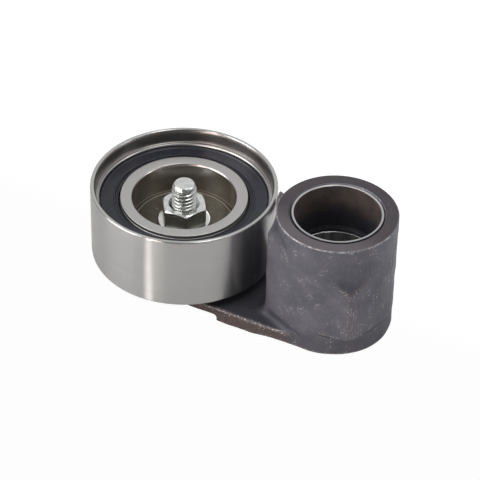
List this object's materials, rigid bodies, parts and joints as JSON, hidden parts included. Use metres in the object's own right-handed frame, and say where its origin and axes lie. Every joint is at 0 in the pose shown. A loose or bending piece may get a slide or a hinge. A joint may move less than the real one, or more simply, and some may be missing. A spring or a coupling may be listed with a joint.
{
  "type": "belt tensioner idler",
  "caption": "Steel idler pulley on a sealed ball bearing, carried by a forged arm with a tall bushed pivot hub beside it.",
  "frame": {"origin": "on the pulley's axis, at the underside of the stud head, which is in the plane the part rests on", "axes": "+X from the pulley's axis to the pivot hub's axis, +Z along both axes, towards the nut and the hub's tall end"},
  "size_m": [0.103, 0.06, 0.0435],
  "materials": {
    "forged_steel": "dark phosphated forging, satin, with bright wear specks along its edges",
    "bush_steel": "bright turned ends, dark satin lining",
    "ground_steel": "fine circumferential grinding, semi-gloss",
    "ring_steel": "satin ground",
    "seal_rubber": "matt dark blue-grey moulded rubber",
    "collar_steel": "dark oiled turned steel",
    "zinc_plate": "bright zinc plating",
    "ball_steel": "polished",
    "cage_nylon": "moulded nylon, natural tan"
  },
  "bodies": {
    "arm": {"tensioner_arm": "forged_steel", "bush_upper": "bush_steel", "bush_lower": "bush_steel", "pulley_stud": "zinc_plate", "bearing_collar": "collar_steel", "stud_washer": "zinc_plate", "stud_nut": "zinc_plate", "inner_ring": "ring_steel"},
    "pulley": {"pulley": "ground_steel", "seal_top": "seal_rubber", "seal_bottom": "seal_rubber"},
    "cage": {"ball_cage": "cage_nylon", "ball_01": "ball_steel", "ball_02": "ball_steel", "ball_03": "ball_steel", "ball_04": "ball_steel", "ball_05": "ball_steel", "ball_06": "ball_steel", "ball_07": "ball_steel", "ball_08": "ball_steel", "ball_09": "ball_steel", "ball_10": "ball_steel", "ball_11": "ball_steel", "ball_12": "ball_steel"}
  },
  "joints": [
    {"name": "pulley_spin", "type": "hinge", "parent": "arm", "child": "pulley", "pos_m": [0, 0, 0.02145], "axis": [0, 0, 1], "continuous": true},
    {"name": "cage_spin", "type": "hinge", "parent": "arm", "child": "cage", "pos_m": [0, 0, 0.02145], "axis": [0, 0, 1], "continuous": true}
  ],
  "couplings": [
    {"joint": "cage_spin", "follows": "pulley_spin", "ratio": 0.579}
  ]
}
